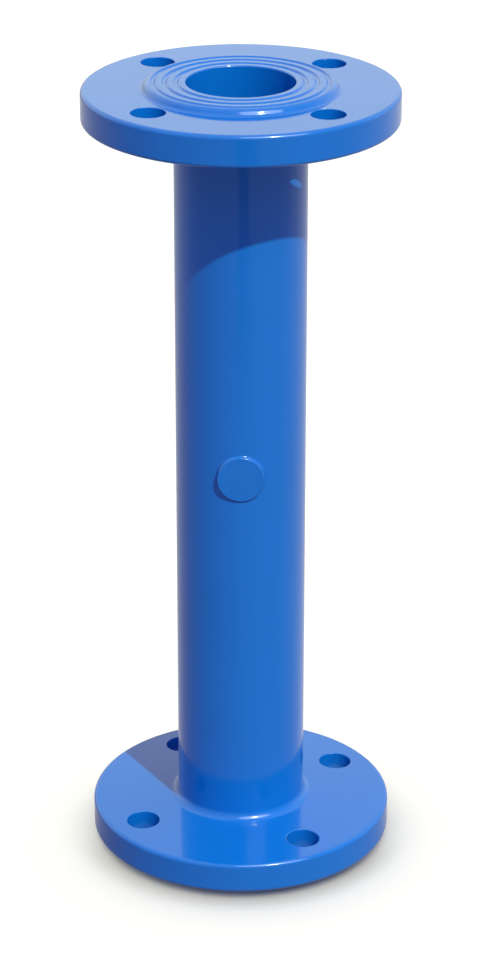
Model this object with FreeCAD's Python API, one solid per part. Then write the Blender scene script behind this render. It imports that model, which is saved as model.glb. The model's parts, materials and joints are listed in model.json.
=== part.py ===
# Double flanged pipe spool for bolting between two DN 60 flanges.
# It is one ductile-iron casting: a straight barrel with a drilled flange at each end, coated all over.
# Edges left as cast are rounded, and edges of turned or drilled surfaces are bevelled.
# Millimetres. Z is the pipe's axis. The origin is the centre of the lower raised face, and +Z runs up the pipe.
import FreeCAD, Part
import math
import os

from FreeCAD import Vector

# Barrel
overall_length = 460.0  # over the two raised faces
bore_diameter = 60.0
barrel_wall = 7.0
root_fillet = 5.0  # where the barrel runs into each flange
bore_mouth_bevel = 1.0

# Flanges, the same at both ends
bolt_room = 30.5  # from the barrel's surface to the bolts' centres, for a nut and its spanner
bolt_edge_distance = 20.0  # from the bolts' centres to the rim
flange_thickness = 18.0  # at the rim, without the raised face
flange_back_rise = 1.5  # how much thicker the drafted back makes the flange at the barrel
rim_bevel = 1.8  # at both edges of the rim

# Bolt holes, for M16
bolt_count = 4
bolt_hole_diameter = 19.0
bolt_hole_bevel = 0.6
lower_pattern_angle = 32.2  # the first hole, turned from +X about +Z
upper_pattern_angle = 43.3

# Raised gasket face
bolt_hole_to_raised_face = 4.0
raised_face_height = 3.5
shoulder_draft = 0.8  # how far the shoulder leans in from its foot to its bevel
shoulder_bevel = 1.0

# Gasket grooves, turned in rings into each raised face
groove_depth = 0.9
groove_floor = 1.2  # width of the flat floor
groove_side = 1.0  # width of each sloping side
groove_land = 3.15  # left flat between two grooves
least_edge_land = 2.0  # left flat between a groove and the edge of the face

# Plain round cast pad on the front of the barrel
pad_diameter = 27.0
pad_relief = 1.2  # from the front of the barrel to the pad's flat face
pad_draft = 0.6  # how far the pad's side leans out on its way down to the barrel's axis
pad_above_middle = 10.7  # from the middle of the pipe's length
pad_edge_rounding = 0.8

# Workings
drill_overrun = 2.0  # how far a drill passes what it cuts
match = 1e-4  # how near two sizes are when they are the same

# Sizes that follow from those above
bore_radius = bore_diameter / 2
barrel_radius = bore_radius + barrel_wall
bolt_circle_radius = barrel_radius + bolt_room
bolt_hole_radius = bolt_hole_diameter / 2
flange_radius = bolt_circle_radius + bolt_edge_distance
rim_back_height = raised_face_height + flange_thickness
root_height = rim_back_height + flange_back_rise
raised_face_radius = bolt_circle_radius - bolt_hole_radius - bolt_hole_to_raised_face
plain_face_radius = raised_face_radius - shoulder_draft - shoulder_bevel
bore_mouth_radius = bore_radius + bore_mouth_bevel
groove_width = groove_floor + 2 * groove_side
groove_pitch = groove_width + groove_land
pad_radius = pad_diameter / 2
pad_height = overall_length / 2 + pad_above_middle
centre_line = Vector(0, 0, 1)


def outline(corners):
    """Closed wire in the XZ plane through (x, z, rounding) corners.

    A corner with a rounding is turned by a tangent arc, which starts and ends at
    rounding / tan(half the corner's angle) from it, or at half of the shorter side if that is less.
    """
    runs = []
    arcs = []
    for number, (x, z, rounding) in enumerate(corners):
        corner = Vector(x, 0, z)
        if rounding == 0:
            runs.append((corner, corner))
            continue
        x_before, z_before, _ = corners[number - 1]
        x_after, z_after, _ = corners[(number + 1) % len(corners)]
        before = Vector(x_before, 0, z_before) - corner
        after = Vector(x_after, 0, z_after) - corner
        half_angle = before.getAngle(after) / 2
        reach = min(rounding / math.tan(half_angle), before.Length / 2, after.Length / 2)
        before.normalize()
        after.normalize()
        bisector = (before + after).normalize()
        middle = corner + bisector * reach * (1 / math.cos(half_angle) - math.tan(half_angle))
        start = corner + before * reach
        finish = corner + after * reach
        arcs.append(Part.Arc(start, middle, finish).toShape())
        runs.append((start, finish))
    lines = []
    for number, (start, _) in enumerate(runs):
        previous_finish = runs[number - 1][1]
        if previous_finish.distanceToPoint(start) > match:
            lines.append(Part.LineSegment(previous_finish, start).toShape())
    return Part.Wire(Part.__sortEdges__(arcs + lines))


def groove_radii():
    """Centre radii of the gasket grooves: as many as fit at the pitch, centred on the plain face."""
    room = plain_face_radius - bore_mouth_radius - 2 * least_edge_land
    count = max(0, math.floor((room + groove_land) / groove_pitch))
    middle = (plain_face_radius + bore_mouth_radius) / 2
    return [middle + (number - (count - 1) / 2) * groove_pitch for number in range(count)]


def end_corners():
    """Half-section of one end, from the bore's mouth round the flange to the barrel's root.

    Each corner is (radius from the axis, height above the raised face, rounding).
    """
    corners = [
        (bore_radius, bore_mouth_bevel, 0),
        (bore_mouth_radius, 0, 0),
    ]
    for centre in groove_radii():
        corners += [
            (centre - groove_width / 2, 0, 0),
            (centre - groove_floor / 2, groove_depth, 0),
            (centre + groove_floor / 2, groove_depth, 0),
            (centre + groove_width / 2, 0, 0),
        ]
    corners += [
        (plain_face_radius, 0, 0),
        (plain_face_radius + shoulder_bevel, shoulder_bevel, 0),
        (raised_face_radius, raised_face_height, 0),
        (flange_radius - rim_bevel, raised_face_height, 0),
        (flange_radius, raised_face_height + rim_bevel, 0),
        (flange_radius, rim_back_height - rim_bevel, 0),
        (flange_radius - rim_bevel, rim_back_height, 0),
        (barrel_radius, root_height, root_fillet),
    ]
    return corners


def turned_body():
    """Barrel and both flanges as one solid: the half-section turned about the pipe's axis."""
    lower = end_corners()
    upper = [(radius, overall_length - height, rounding) for radius, height, rounding in reversed(lower)]
    section = Part.Face(outline(lower + upper))
    return section.revolve(Vector(0, 0, 0), centre_line, 360)


def cast_pad():
    """Round boss with a flat face towards -Y, cored out to the middle of the barrel's wall."""
    face_distance = barrel_radius + pad_relief
    section = Part.Face(
        outline(
            [
                (0, 0, 0),
                (pad_radius + pad_draft, 0, 0),
                (pad_radius, face_distance, pad_edge_rounding),
                (0, face_distance, 0),
            ]
        )
    )
    boss = section.revolve(Vector(0, 0, 0), centre_line, 360)
    boss.rotate(Vector(0, 0, 0), Vector(1, 0, 0), 90)
    boss.translate(Vector(0, 0, pad_height))
    core_radius = bore_radius + barrel_wall / 2
    core_length = pad_diameter + 2 * (pad_draft + drill_overrun)
    core = Part.makeCylinder(core_radius, core_length, Vector(0, 0, pad_height - core_length / 2), centre_line)
    return boss.cut(core)


def bolt_drills(first_angle, flange_bottom):
    """Drills on the bolt circle, through a flange that starts at flange_bottom."""
    drills = []
    for number in range(bolt_count):
        angle = math.radians(first_angle + number * 360 / bolt_count)
        base = Vector(
            bolt_circle_radius * math.cos(angle),
            bolt_circle_radius * math.sin(angle),
            flange_bottom - drill_overrun,
        )
        length = root_height - raised_face_height + 2 * drill_overrun
        drills.append(Part.makeCylinder(bolt_hole_radius, length, base, centre_line))
    return drills


def bolt_hole_mouths(body):
    """The edges where the bolt holes open, at both ends of each hole's wall."""
    mouths = []
    for wall in body.Faces:
        if isinstance(wall.Surface, Part.Cylinder):
            from_axis = math.hypot(wall.Surface.Center.x, wall.Surface.Center.y)
            on_bolt_circle = abs(from_axis - bolt_circle_radius) < match
            if on_bolt_circle and abs(wall.Surface.Radius - bolt_hole_radius) < match:
                mouths += [edge for edge in wall.Edges if not edge.isSeam(wall)]
    return mouths


def flanged_pipe():
    """The whole casting as one solid."""
    body = turned_body().fuse(cast_pad()).removeSplitter()
    drills = bolt_drills(lower_pattern_angle, raised_face_height)
    drills += bolt_drills(upper_pattern_angle, overall_length - root_height)
    body = body.cut(drills)
    return body.makeChamfer(bolt_hole_bevel, bolt_hole_mouths(body)).Solids[0]


os.makedirs("parts", exist_ok=True)
spool = flanged_pipe()
spool.exportStep("parts/flanged_pipe.step")
print("flanged_pipe is a", spool.ShapeType, "and valid:", spool.isValid())
print("volume in cubic millimetres:", round(spool.Volume))
print("gasket grooves at radii:", [round(radius, 2) for radius in groove_radii()])
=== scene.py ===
import json
import math

import bpy
import numpy as np
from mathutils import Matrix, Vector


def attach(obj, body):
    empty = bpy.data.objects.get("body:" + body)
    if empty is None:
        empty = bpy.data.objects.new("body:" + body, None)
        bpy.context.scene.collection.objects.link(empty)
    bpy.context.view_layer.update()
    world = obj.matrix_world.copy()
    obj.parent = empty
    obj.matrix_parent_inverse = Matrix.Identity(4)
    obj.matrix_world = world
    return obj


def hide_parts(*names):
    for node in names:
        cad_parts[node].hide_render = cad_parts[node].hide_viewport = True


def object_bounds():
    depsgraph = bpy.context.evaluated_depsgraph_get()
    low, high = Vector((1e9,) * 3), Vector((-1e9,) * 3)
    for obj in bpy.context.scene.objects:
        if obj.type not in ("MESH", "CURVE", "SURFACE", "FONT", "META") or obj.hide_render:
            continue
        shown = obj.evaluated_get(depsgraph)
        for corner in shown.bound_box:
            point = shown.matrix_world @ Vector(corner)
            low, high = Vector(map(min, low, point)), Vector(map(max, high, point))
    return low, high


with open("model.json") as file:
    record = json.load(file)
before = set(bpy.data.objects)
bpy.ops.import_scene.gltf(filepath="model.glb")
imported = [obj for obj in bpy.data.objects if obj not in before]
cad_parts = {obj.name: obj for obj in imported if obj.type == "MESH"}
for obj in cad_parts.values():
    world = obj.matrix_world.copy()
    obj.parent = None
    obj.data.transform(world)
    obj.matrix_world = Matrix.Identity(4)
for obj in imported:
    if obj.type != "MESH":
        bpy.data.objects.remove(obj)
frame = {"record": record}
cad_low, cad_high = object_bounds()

MM = 0.001
mounts = {mount["name"]: mount for mount in frame["record"]["mounts"]}
bolts = mounts["lower_bolts"]

# Casting, from the frame
length = (cad_high[2] - cad_low[2]) / MM
rim_radius = min(cad_high[0], cad_high[1], -cad_low[0], -cad_low[1]) / MM
bore_radius = mounts["through_bore"]["dims"]["r_mm"]
bolt_circle_radius = bolts["dims"]["pcd_mm"] / 2
bolt_hole_radius = bolts["dims"]["hole_r_mm"]
bolt_count = bolts["dims"]["count"]
face_height = bolts["pos_m"][2] / MM  # the flange's plain face, above the gasket face

# Casting, as drawn
barrel_radius = 37.0
root_height = 23.0  # where the flange's back meets the barrel, above the gasket face
back_slope = 0.0308  # how far the drafted back falls for each millimetre outwards
raised_face_radius = 54.0
shoulder_top_radius = 51.9
lower_pattern_angle = 32.2  # degrees from +X about +Z to the first bolt hole
upper_pattern_angle = 43.3  # the same for the other end
groove_radii = (35.25, 41.6, 47.95)
groove_half_width = 1.6
groove_half_floor = 0.6
groove_depth = 0.9
pad_radius = 13.5
pad_distance = 38.2  # the pad's flat face, from the pipe's axis
pad_height = 240.7
front = -math.pi / 2  # radians from +X about +Z to the side that the pad is on, which is -Y

# Softness that the coat gives to the edges
bore_mouth_rounding = 0.8
groove_edge_rounding = 0.5
groove_floor_rounding = 0.5
shoulder_rounding = 3.5
shoulder_foot_rounding = 2.8
rim_rounding = 2.3
root_rounding = 5.0
hole_mouth_rounding = 0.45
pad_side_width = 1.3

# What one surface keeps beyond its last rounding, and where it hands over to the next
shoulder_margin = 2.0
fillet_margin = 1.5
rim_margin = 0.4
barrel_margin = 2.0
face_inner_radius = raised_face_radius + shoulder_margin
back_inner_radius = barrel_radius + root_rounding + fillet_margin
drilled_outer_radius = rim_radius - rim_rounding - rim_margin
bore_start = 40.0
barrel_start = root_height + root_rounding + barrel_margin
pad_foot_radius = pad_radius + pad_side_width / 2
pad_top_radius = pad_radius - pad_side_width / 2
pad_patch_half_height = 30.0
pad_patch_half_angle = math.pi / bolt_count

# Fineness of the mesh
sector_columns = 48  # over each bolt's share of the turn
all_columns = bolt_count * sector_columns
column_angle = 2 * math.pi / all_columns
sector_side_rows = 12  # along the straight sides of a drilled sector
sector_rows = 7  # from a hole's mouth to its sector's edge
sector_bunching = 1.3  # above 1 it crowds the rows towards the hole
pad_side_rows = 26  # along the straight sides of the pad's patch
pad_step_rows = 13  # down the pad's side
pad_margin_rows = 11  # from the pad's foot to the patch's edge
pad_margin_bunching = 1.4
bore_rows = 25
lower_barrel_rows = 26
upper_barrel_rows = 24
arc_steps = 8
small_arc_steps = 4
small_rounding = 0.6  # below it a rounding has the fewer steps
sewing_cells = 1000  # per millimetre: points in the same cell are sewn into one

# Stage, in metres and degrees
floor_radius = 12.0
floor_middle_radius = 0.05
floor_sides = 96
floor_gap = 0.0001  # from the floor up to the pipe's foot
lamp_distance = 2.0
key_azimuth = -60.0
key_elevation = 49.8
camera_place = (-0.00046, -1.657, 0.9518)
camera_tilt = 23.675
camera_lens = 119.22  # in millimetres, and so is the sensor's width
camera_sensor = 36.0


def around_axis(radius, height, angle):
    """Points at a radius and angle round the pipe's axis, and at a height along it."""
    radius, height, angle = np.broadcast_arrays(radius, height, angle)
    return np.stack([radius * np.cos(angle), radius * np.sin(angle), height], axis=-1)


def rounded_run(corners):
    """Points and outward normals along a half-section of (radius, height, rounding) corners.

    At each corner the direction turns evenly from one side's to the next one's while the point
    moves along a circle that touches both sides. The metal lies on the left of the run.
    """
    corners = np.array(corners, float)
    sides = np.diff(corners[:, :2], axis=0)
    directions = sides / np.linalg.norm(sides, axis=1)[:, None]
    side_normals = directions[:, ::-1] * (1, -1)
    points = [corners[:1, :2]]
    normals = [side_normals[:1]]
    for corner, before, after in zip(corners[1:-1], directions, directions[1:]):
        turn = math.atan2(before[0] * after[1] - before[1] * after[0], before @ after)
        rounding = math.copysign(corner[2], turn)
        start = corner[:2] - rounding * math.tan(turn / 2) * before
        steps = small_arc_steps if corner[2] < small_rounding else arc_steps
        angle = math.atan2(before[1], before[0]) + np.linspace(0, turn, steps + 1)
        normal = np.stack([np.sin(angle), -np.cos(angle)], axis=1)
        points.append(start + rounding * (normal - normal[0]))
        normals.append(normal)
    points.append(corners[-1:, :2])
    normals.append(side_normals[-1:])
    return np.concatenate(points), np.concatenate(normals)


def turned(run, angles):
    """Surface of a run turned about an upright axis: radius times the angle's cosine and sine, height."""
    return tuple(around_axis(part[:, :1], part[:, 1:], angles) for part in run)


def back_at(radius):
    """Height of the flange's drafted back at a radius: a cone that falls evenly from barrel to rim."""
    return root_height - back_slope * (radius - barrel_radius)


def face_run():
    """Half-section from the bore's wall over the grooved gasket face to the foot of its shoulder."""
    corners = [(bore_radius, bore_start, 0), (bore_radius, 0, bore_mouth_rounding)]
    for centre in groove_radii:
        corners += [
            (centre - groove_half_width, 0, groove_edge_rounding),
            (centre - groove_half_floor, groove_depth, groove_floor_rounding),
            (centre + groove_half_floor, groove_depth, groove_floor_rounding),
            (centre + groove_half_width, 0, groove_edge_rounding),
        ]
    corners += [
        (shoulder_top_radius, 0, shoulder_rounding),
        (raised_face_radius, face_height, shoulder_foot_rounding),
        (face_inner_radius, face_height, 0),
    ]
    return rounded_run(corners)


def rim_run():
    """Half-section round the flange's rim, from its face to its back."""
    return rounded_run(
        [
            (drilled_outer_radius, face_height, 0),
            (rim_radius, face_height, rim_rounding),
            (rim_radius, back_at(rim_radius), rim_rounding),
            (drilled_outer_radius, back_at(drilled_outer_radius), 0),
        ]
    )


def root_run():
    """Half-section from the flange's back through the fillet to the barrel."""
    return rounded_run(
        [
            (back_inner_radius, back_at(back_inner_radius), 0),
            (barrel_radius, root_height, root_rounding),
            (barrel_radius, barrel_start, 0),
        ]
    )


def border(columns, rows):
    """The (u, v) points once round a square from -1 to 1, with columns along u and rows along v."""
    across = np.linspace(-1, 1, columns + 1)
    up = np.linspace(-1, 1, rows + 1)
    u = np.concatenate([across[:-1], np.ones(rows), across[:0:-1], -np.ones(rows)])
    v = np.concatenate([-np.ones(columns), up[:-1], np.ones(columns), up[:0:-1]])
    return u, v


def square_to_disc(u, v):
    """Carries the square to the unit disc.

    Each coordinate is multiplied by the root of 1 minus half of the other one's square.
    """
    return u * np.sqrt(1 - v * v / 2), v * np.sqrt(1 - u * u / 2)


def drilled_sector(turn, inner_radius, drafted):
    """One bolt's share of the flange's face or of its drafted back: a ring's sector with a round mouth.

    The surface runs from the hole's mouth to the sector's edge, straight in radius and angle.
    """
    u, v = border(sector_columns, sector_side_rows)
    across, outward = square_to_disc(u, v)
    mouth = bolt_hole_radius + hole_mouth_rounding
    mouth_radius = np.hypot(bolt_circle_radius + mouth * outward, mouth * across)
    mouth_angle = np.arctan2(mouth * across, bolt_circle_radius + mouth * outward)
    edge_radius = inner_radius + (drilled_outer_radius - inner_radius) * (v + 1) / 2
    edge_angle = u * math.pi / bolt_count
    share = np.linspace(0, 1, sector_rows)[:, None] ** sector_bunching
    radius = mouth_radius + (edge_radius - mouth_radius) * share
    angle = mouth_angle + (edge_angle - mouth_angle) * share + turn
    if drafted:
        return around_axis(radius, back_at(radius), angle), around_axis(back_slope, 1.0, angle)
    return around_axis(radius, face_height, angle), around_axis(0.0, -1.0, angle)


def bolt_hole_wall(turn):
    """Wall of one bolt hole from mouth to mouth, with rounded lips.

    The half-section is carried round the hole's own axis, and its upper lip follows the drafted back.
    Its two end points lie beyond the lips, on surfaces that the drilled sectors make, and are left out.
    """
    beyond_lip = bolt_hole_radius + 2 * hole_mouth_rounding
    middle_height = back_at(bolt_circle_radius)
    section = rounded_run(
        [
            (beyond_lip, middle_height, 0),
            (bolt_hole_radius, middle_height, hole_mouth_rounding),
            (bolt_hole_radius, face_height, hole_mouth_rounding),
            (beyond_lip, face_height, 0),
        ]
    )
    run, run_normals = (part[1:-1] for part in section)
    across, outward = square_to_disc(*border(sector_columns, sector_side_rows))
    points, normals = turned((run, run_normals), np.arctan2(across, outward))
    points[..., 0] += bolt_circle_radius
    radius = np.hypot(points[..., 0], points[..., 1])
    upper = run[:, 1:] > (middle_height + face_height) / 2
    points[..., 2] += np.where(upper, back_at(radius) - middle_height, 0)
    tilt = np.where(upper, back_slope * normals[..., 2], 0)
    normals[..., 0] += tilt * points[..., 0] / radius
    normals[..., 1] += tilt * points[..., 1] / radius
    cosine = math.cos(turn)
    sine = math.sin(turn)
    spin = np.array([[cosine, sine, 0], [-sine, cosine, 0], [0, 0, 1]])
    return points @ spin, normals @ spin


def pad_surface(x, z):
    """Points and normals of the pad at (x, z) from its centre, on the side of -Y.

    A point's distance from the pipe's axis, measured straight to the front, is the barrel's, which is
    the root of its radius squared less x squared, plus a share of what is missing to the pad's flat
    face. The share falls from 1 to 0 along a smooth step across the pad's side.
    """
    away = np.hypot(x, z)
    reach = np.clip((pad_foot_radius - away) / (pad_foot_radius - pad_top_radius), 0, 1)
    share = reach * reach * (3 - 2 * reach)
    slope = -6 * reach * (1 - reach) / (pad_foot_radius - pad_top_radius)
    barrel = np.sqrt(barrel_radius**2 - x**2)
    missing = pad_distance - barrel
    distance = barrel + missing * share
    away = np.maximum(away, 1e-9)  # at the pad's centre the slope is 0, and nothing is divided by 0
    normals = np.stack(
        [
            x / barrel * (1 - share) - missing * slope * x / away,
            -np.ones_like(x),
            -missing * slope * z / away,
        ],
        axis=-1,
    )
    normals /= np.linalg.norm(normals, axis=-1, keepdims=True)
    return np.stack([x, -distance, z + pad_height], axis=-1), normals


def pad_patches():
    """Stretch of barrel with the round cast pad: the pad's face, its side, and the barrel around it.

    The last one runs from the pad's foot to the patch's edge, straight in angle and height.
    """
    face_u, face_v = np.meshgrid(
        np.linspace(-1, 1, sector_columns + 1),
        np.linspace(-1, 1, pad_side_rows + 1),
        indexing="ij",
    )
    face_x, face_z = square_to_disc(face_u, face_v)
    yield (*pad_surface(face_x * pad_top_radius, face_z * pad_top_radius), False)

    u, v = border(sector_columns, pad_side_rows)
    across, up = square_to_disc(u, v)
    ring = np.linspace(pad_top_radius, pad_foot_radius, pad_step_rows)[:, None]
    yield (*pad_surface(across * ring, up * ring), True)

    share = np.linspace(0, 1, pad_margin_rows)[:, None] ** pad_margin_bunching
    foot_angle = np.arcsin(across * pad_foot_radius / barrel_radius)
    foot_height = up * pad_foot_radius
    angle = foot_angle + (u * pad_patch_half_angle - foot_angle) * share + front
    height = foot_height + (v * pad_patch_half_height - foot_height) * share + pad_height
    yield around_axis(barrel_radius, height, angle), around_axis(1.0, 0 * height, angle), True


def columns_from(start, count=all_columns):
    """Angles of the mesh's columns round the pipe, the first of them at the start."""
    return start + np.arange(count) * column_angle


def shift_between(base, start):
    """The smallest turn that brings the columns from the base onto those from the start."""
    return (start - base + column_angle / 2) % column_angle - column_angle / 2


def barrel_patches(lower_start, upper_start):
    """The bore, the barrel's outside and the pad: a radius turned about the axis at each height.

    The columns turn gently on their way between the two ends' places. Beside the pad they stand upright.
    """
    patch_start = front - pad_patch_half_angle
    patch_low = pad_height - pad_patch_half_height
    patch_high = pad_height + pad_patch_half_height
    upright = columns_from(patch_start)
    lower = shift_between(patch_start, lower_start)
    upper = shift_between(patch_start, upper_start)
    for radius, side, bottom, top, bottom_shift, top_shift, rows in (
        (bore_radius, -1.0, bore_start, length - bore_start, lower, upper, bore_rows),
        (barrel_radius, 1.0, barrel_start, patch_low, lower, 0.0, lower_barrel_rows),
        (barrel_radius, 1.0, patch_high, length - barrel_start, 0.0, upper, upper_barrel_rows),
    ):
        share = np.linspace(0, 1, rows)[:, None]
        height = bottom + (top - bottom) * share
        angle = upright + bottom_shift + (top_shift - bottom_shift) * share
        yield around_axis(radius, height, angle), around_axis(side, 0 * height, angle), True

    height = pad_height + np.linspace(-1, 1, pad_side_rows + 1)[:, None] * pad_patch_half_height
    angle = columns_from(patch_start + 2 * pad_patch_half_angle, all_columns - sector_columns + 1)
    yield around_axis(barrel_radius, height, angle), around_axis(1.0, 0 * height, angle), False
    yield from pad_patches()


def end_patches(first_angle):
    """The surfaces of one end with its gasket face at height 0, as (points, normals, closed)."""
    angles = columns_from(first_angle - math.pi / bolt_count)
    for run in (face_run(), rim_run(), root_run()):
        yield (*turned(run, angles), True)
    for number in range(bolt_count):
        turn = first_angle + number * 2 * math.pi / bolt_count
        yield (*drilled_sector(turn, face_inner_radius, drafted=False), True)
        yield (*drilled_sector(turn, back_inner_radius, drafted=True), True)
        yield (*bolt_hole_wall(turn), True)


def casting_patches():
    """All surfaces of the casting. The upper end is the lower end's mirror image in height."""
    lower = math.radians(lower_pattern_angle)
    upper = math.radians(upper_pattern_angle)
    yield from end_patches(lower)
    for points, normals, closed in end_patches(upper):
        yield points * (1, 1, -1) + (0, 0, length), normals * (1, 1, -1), closed
    yield from barrel_patches(lower - math.pi / bolt_count, upper - math.pi / bolt_count)


def faces_of(rows, columns, closed, first):
    """Four-sided faces of a grid whose points are numbered row by row from first."""
    strips = columns if closed else columns - 1
    row, column = np.meshgrid(np.arange(rows - 1), np.arange(strips), indexing="ij")
    here = first + row * columns + column
    beside = first + row * columns + (column + 1) % columns
    corners = (here, beside, beside + columns, here + columns)
    return np.stack([corner.ravel() for corner in corners], axis=1)


def sewn(patches):
    """One closed skin from (points, normals, closed) patches: points that fall together become one.

    Faces are turned so that they point the way of their points' normals.
    """
    all_points = []
    all_normals = []
    all_faces = []
    first = 0
    for points, normals, closed in patches:
        rows, columns = points.shape[:2]
        all_points.append(points.reshape(-1, 3))
        all_normals.append(normals.reshape(-1, 3))
        all_faces.append(faces_of(rows, columns, closed, first))
        first += rows * columns
    points = np.concatenate(all_points)
    normals = np.concatenate(all_normals)
    faces = np.concatenate(all_faces)
    cells = np.round(points * sewing_cells).astype(np.int64)
    _, kept, number = np.unique(cells, axis=0, return_index=True, return_inverse=True)
    points = points[kept]
    normals = normals[kept]
    faces = number.reshape(-1)[faces]
    diagonal_a = points[faces[:, 2]] - points[faces[:, 0]]
    diagonal_b = points[faces[:, 3]] - points[faces[:, 1]]
    outward = np.einsum("ij,ij->i", np.cross(diagonal_a, diagonal_b), normals[faces].sum(axis=1))
    faces[outward < 0] = faces[outward < 0][:, ::-1]
    return points, normals, faces


def placed(name, mesh, material):
    """An object at the origin that shows a mesh in a material."""
    mesh.materials.append(material)
    mesh.update()
    piece = bpy.data.objects.new(name, mesh)
    bpy.context.scene.collection.objects.link(piece)
    return piece


def skin(name, points, normals, faces, material):
    """A smooth-shaded piece from points in millimetres, with its own normals."""
    mesh = bpy.data.meshes.new(name)
    mesh.from_pydata(points * MM, [], faces.tolist())
    mesh.polygons.foreach_set("use_smooth", np.ones(len(mesh.polygons), bool))
    mesh.normals_split_custom_set_from_vertices(normals)
    return placed(name, mesh, material)


def floor(material):
    """A wide flat disc at the pipe's foot: a fan in the middle and one ring of sides around it.

    Both edges of the ring are a radius times the angle's cosine and sine.
    """
    height = cad_low[2] - floor_gap
    side = np.arange(floor_sides)
    angle = side * 2 * math.pi / floor_sides
    rings = around_axis([[floor_middle_radius], [floor_radius]], height, angle).reshape(-1, 3)
    centre = np.full(floor_sides, len(rings))
    fan = np.stack([centre, side, (side + 1) % floor_sides], axis=1)
    faces = faces_of(2, floor_sides, True, 0).tolist() + fan.tolist()
    mesh = bpy.data.meshes.new("floor")
    mesh.from_pydata(np.concatenate([rings, [[0, 0, height]]]), [], faces)
    piece = placed("floor", mesh, material)
    return piece


def plug(tree, value, socket):
    """Gives a socket another node's output, or a constant."""
    if isinstance(value, bpy.types.NodeSocket):
        tree.links.new(value, socket)
    else:
        socket.default_value = value


def faded(tree, source, span, values):
    """Goes smoothly from the first of the values to the second while the source crosses the span."""
    node = tree.nodes.new("ShaderNodeMapRange")
    node.interpolation_type = "SMOOTHSTEP"
    plug(tree, source, node.inputs["Value"])
    for name, number in zip(("From Min", "From Max", "To Min", "To Max"), (*span, *values)):
        plug(tree, number, node.inputs[name])
    return node.outputs["Result"]


def maths(tree, operation, *values):
    """Values added, multiplied or otherwise joined."""
    node = tree.nodes.new("ShaderNodeMath")
    node.operation = operation
    for value, socket in zip(values, node.inputs):
        plug(tree, value, socket)
    return node.outputs["Value"]


def vector_maths(tree, operation, vector, result):
    """The named result of an operation on one vector."""
    node = tree.nodes.new("ShaderNodeVectorMath")
    node.operation = operation
    plug(tree, vector, node.inputs[0])
    return node.outputs[result]


def split(tree, vector):
    """The X, Y and Z of a vector, by name."""
    node = tree.nodes.new("ShaderNodeSeparateXYZ")
    plug(tree, vector, node.inputs["Vector"])
    return node.outputs


def noise(tree, place, scale, detail):
    """Soft noise from 0 to 1 over a place."""
    node = tree.nodes.new("ShaderNodeTexNoise")
    plug(tree, place, node.inputs["Vector"])
    plug(tree, scale, node.inputs["Scale"])
    plug(tree, detail, node.inputs["Detail"])
    return node.outputs["Fac"]


def mixed(tree, share, first, second):
    """The first number, or the second where the share is 1."""
    node = tree.nodes.new("ShaderNodeMix")
    # The node's inputs 2 and 3 and its output 0 are those for numbers
    for value, place in ((share, 0), (first, 2), (second, 3)):
        plug(tree, value, node.inputs[place])
    return node.outputs[0]


def mixed_colour(tree, share, first, second, blend="MIX"):
    """The first colour, or its blend with the second where the share is 1."""
    node = tree.nodes.new("ShaderNodeMix")
    node.data_type = "RGBA"
    node.blend_type = blend
    # The node's inputs 6 and 7 and its output 2 are those for colours
    for value, place in ((share, 0), (first, 6), (second, 7)):
        plug(tree, value, node.inputs[place])
    return node.outputs[2]


def ramp(tree, source, stops):
    """Colours along a value from 0 to 1: each stop is (position, colour)."""
    node = tree.nodes.new("ShaderNodeValToRGB")
    elements = node.color_ramp.elements
    for number, (position, colour) in enumerate(stops):
        element = elements[number] if number < len(elements) else elements.new(position)
        element.position = position
        element.color = (*colour, 1)
    plug(tree, source, node.inputs["Fac"])
    return node.outputs["Color"]


def new_material(name):
    """A node material, with its node tree and its Principled shader."""
    material = bpy.data.materials.new(name)
    material.use_nodes = True
    return material, material.node_tree, material.node_tree.nodes["Principled BSDF"]


def blue_coating():
    """Glossy blue epoxy coat over the casting: nearly even colour, a faint ripple and cloudy gloss."""
    material, tree, shader = new_material("blue_coating")
    place = tree.nodes.new("ShaderNodeTexCoord").outputs["Object"]
    cloud = noise(tree, place, scale=18, detail=3)
    blues = [(0.3, (0.0015, 0.134, 0.515)), (0.7, (0.0025, 0.142, 0.54))]
    plug(tree, ramp(tree, cloud, blues), shader.inputs["Base Color"])
    plug(tree, faded(tree, cloud, (0.3, 0.7), (0.09, 0.13)), shader.inputs["Roughness"])
    shader.inputs["IOR"].default_value = 1.5
    bump = tree.nodes.new("ShaderNodeBump")
    bump.inputs["Strength"].default_value = 0.2
    bump.inputs["Distance"].default_value = 0.0002
    plug(tree, noise(tree, place, scale=60, detail=1), bump.inputs["Height"])
    plug(tree, bump.outputs["Normal"], shader.inputs["Normal"])
    return material


def floor_colour_with_painted_shadow(tree, place, towards):
    """The floor's pale colour with a painted contact shadow: a deeper colour in front, close to the
    pipe's foot.
    """
    painted_shadow_near_foot = faded(tree, vector_maths(tree, "LENGTH", place, "Value"), (0.086, 0.106), (1.0, 0.0))
    painted_shadow_in_front = faded(tree, towards["Y"], (-0.6, -0.1), (1.0, 0.0))
    share = maths(tree, "MULTIPLY", painted_shadow_near_foot, painted_shadow_in_front)
    # The second colour is the painted contact shadow; the share says where it falls.
    return mixed_colour(tree, share, (0.94, 0.935, 0.715, 1), (0.76, 0.755, 0.53, 1))


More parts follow.
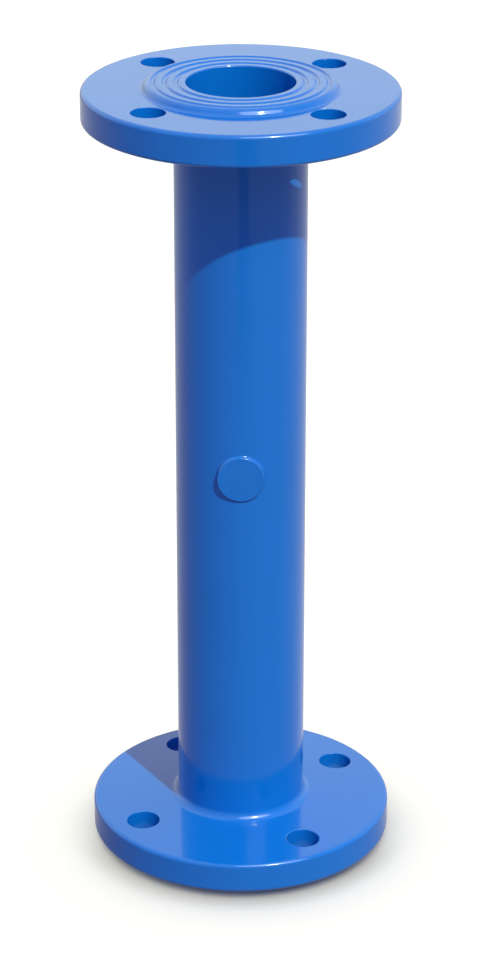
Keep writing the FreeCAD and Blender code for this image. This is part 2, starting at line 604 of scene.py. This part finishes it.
def floor_in_the_coat(tree, place, towards):
    """The floor's brightness as the glossy coat mirrors it.

    It is brighter behind the pipe than in front, and a little dimmer on the left. Far in front, a wide
    stretch of it is darker.
    """
    behind = faded(tree, towards["Y"], (-0.35, 0.75), (0.42, 0.8))
    to_right = faded(tree, towards["X"], (-0.6, 0.7), (0.84, 1.0))
    brightness = maths(tree, "MULTIPLY", behind, to_right)
    spot = split(tree, place)
    from_middle = maths(tree, "ABSOLUTE", maths(tree, "SUBTRACT", spot["X"], 0.1))
    stretch = faded(tree, from_middle, (0.14, 0.24), (0.6, 0.0))
    far_in_front = faded(tree, spot["Y"], (-1.25, -0.6), (1.0, 0.0))
    darkness = maths(tree, "MULTIPLY", stretch, far_in_front)
    return maths(tree, "MULTIPLY", brightness, maths(tree, "SUBTRACT", 1.0, darkness))


def pale_floor():
    """Plain pale floor. The camera sees it lit. To other rays it glows with a set brightness."""
    material, tree, shader = new_material("pale_floor")
    place = tree.nodes.new("ShaderNodeTexCoord").outputs["Object"]
    towards = split(tree, vector_maths(tree, "NORMALIZE", place, "Vector"))
    path = tree.nodes.new("ShaderNodeLightPath").outputs
    # The base colour holds a painted contact shadow in front of the pipe's foot.
    plug(tree, floor_colour_with_painted_shadow(tree, place, towards), shader.inputs["Base Color"])
    shader.inputs["Roughness"].default_value = 0.9
    shader.inputs["Specular IOR Level"].default_value = 0.0
    glow = tree.nodes.new("ShaderNodeEmission")
    mirrored = floor_in_the_coat(tree, place, towards)
    plug(tree, mixed(tree, path["Is Glossy Ray"], 0.32, mirrored), glow.inputs["Strength"])
    tint = mixed_colour(tree, path["Is Diffuse Ray"], (0.97, 0.98, 1.0, 1), (0.95, 0.78, 1.12, 1))
    plug(tree, tint, glow.inputs["Color"])
    mix = tree.nodes.new("ShaderNodeMixShader")
    plug(tree, path["Is Camera Ray"], mix.inputs["Fac"])
    plug(tree, glow.outputs["Emission"], mix.inputs[1])
    plug(tree, shader.outputs["BSDF"], mix.inputs[2])
    plug(tree, mix.outputs["Shader"], tree.nodes["Material Output"].inputs["Surface"])
    return material


def tinted(tint, stops):
    """Stops of (height, brightness) as stops of (height, colour)."""
    return [(height, [brightness * channel for channel in tint]) for height, brightness in stops]


def room():
    """White walls to the camera. To the pipe, a bright wall behind it and a dimmer room in front.

    Colours go by height in the room, from -1 straight down to 1 straight up. As a fill light the
    room is dimmer and bluer overhead, and stronger from the right.
    """
    front_stops = tinted((0.97, 0.99, 1.05), [(0.0, 0.5), (0.9, 0.95), (0.45, 0.52)])
    back_stops = tinted((0.97, 1.03, 0.72), [(0.0, 0.8), (0.9, 0.95), (0.25, 1.3), (0.5, 1.12)])
    fill_stops = [(0.4, (0.95, 0.75, 1.0)), (0.9, (0.12, 0.12, 0.36)), (0.65, (0.55, 0.55, 1.45))]

    world = bpy.data.worlds.new("room")
    bpy.context.scene.world = world
    world.use_nodes = True
    tree = world.node_tree
    towards = split(tree, tree.nodes.new("ShaderNodeTexCoord").outputs["Generated"])
    path = tree.nodes.new("ShaderNodeLightPath").outputs
    level = maths(tree, "MULTIPLY_ADD", towards["Z"], 0.5, 0.5)  # the height, moved to 0 to 1
    front_wall, back_wall, fill = (
        ramp(tree, level, [((height + 1) / 2, colour) for height, colour in stops])
        for stops in (front_stops, back_stops, fill_stops)
    )
    behind = faded(tree, towards["Y"], (-0.15, 0.45), (0.0, 1.0))
    walls = mixed_colour(tree, behind, front_wall, back_wall)
    walls = mixed_colour(tree, path["Is Diffuse Ray"], walls, fill, blend="MULTIPLY")
    walls = mixed_colour(tree, path["Is Camera Ray"], walls, (1, 1, 1, 1))
    mirrored = faded(tree, towards["X"], (-0.8, 0.6), (1.25, 0.95))
    filling = faded(tree, towards["X"], (-0.8, 0.8), (0.88, 1.12))
    background = tree.nodes["Background"]
    plug(tree, walls, background.inputs["Color"])
    plug(tree, mixed(tree, path["Is Diffuse Ray"], mirrored, filling), background.inputs["Strength"])


def sun(name, lit_piece, azimuth, elevation, strength, spread, colour=(1, 1, 1)):
    """A far light on one piece, from an azimuth (from +X towards +Y) and elevation, both in degrees."""
    light = bpy.data.lights.new(name, "SUN")
    light.energy = strength
    light.angle = math.radians(spread)
    light.color = colour
    lamp = bpy.data.objects.new(name, light)
    bpy.context.scene.collection.objects.link(lamp)
    rise = math.radians(elevation)
    lamp.location = lamp_distance * around_axis(math.cos(rise), math.sin(rise), math.radians(azimuth))
    lamp.rotation_euler = (-lamp.location).to_track_quat("-Z", "Y").to_euler()
    receivers = bpy.data.collections.new("lit_by_" + name)
    receivers.objects.link(lit_piece)
    lamp.light_linking.receiver_collection = receivers
    return lamp


def photograph_camera():
    """Camera at the photograph's viewing angle: in front, looking down on the pipe."""
    camera = bpy.data.cameras.new("camera")
    camera.sensor_width = camera_sensor
    camera.lens = camera_lens
    thing = bpy.data.objects.new("camera", camera)
    bpy.context.scene.collection.objects.link(thing)
    thing.location = camera_place
    thing.rotation_euler = (math.radians(90 - camera_tilt), 0, 0)
    bpy.context.scene.camera = thing


spool = skin("flanged_spool", *sewn(casting_patches()), blue_coating())
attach(spool, "root")
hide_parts("flanged_pipe")

ground = floor(pale_floor())
room()
sun("key", spool, key_azimuth, key_elevation, strength=3.4, spread=1.2, colour=(1.0, 1.1, 0.86))
glow = sun("key_glow", spool, key_azimuth, key_elevation, strength=2.1, spread=42)
glow.visible_diffuse = False
sun("floor_wash", ground, azimuth=115, elevation=70, strength=2.84, spread=140)
photograph_camera()
bpy.context.scene.view_settings.view_transform = "Standard"
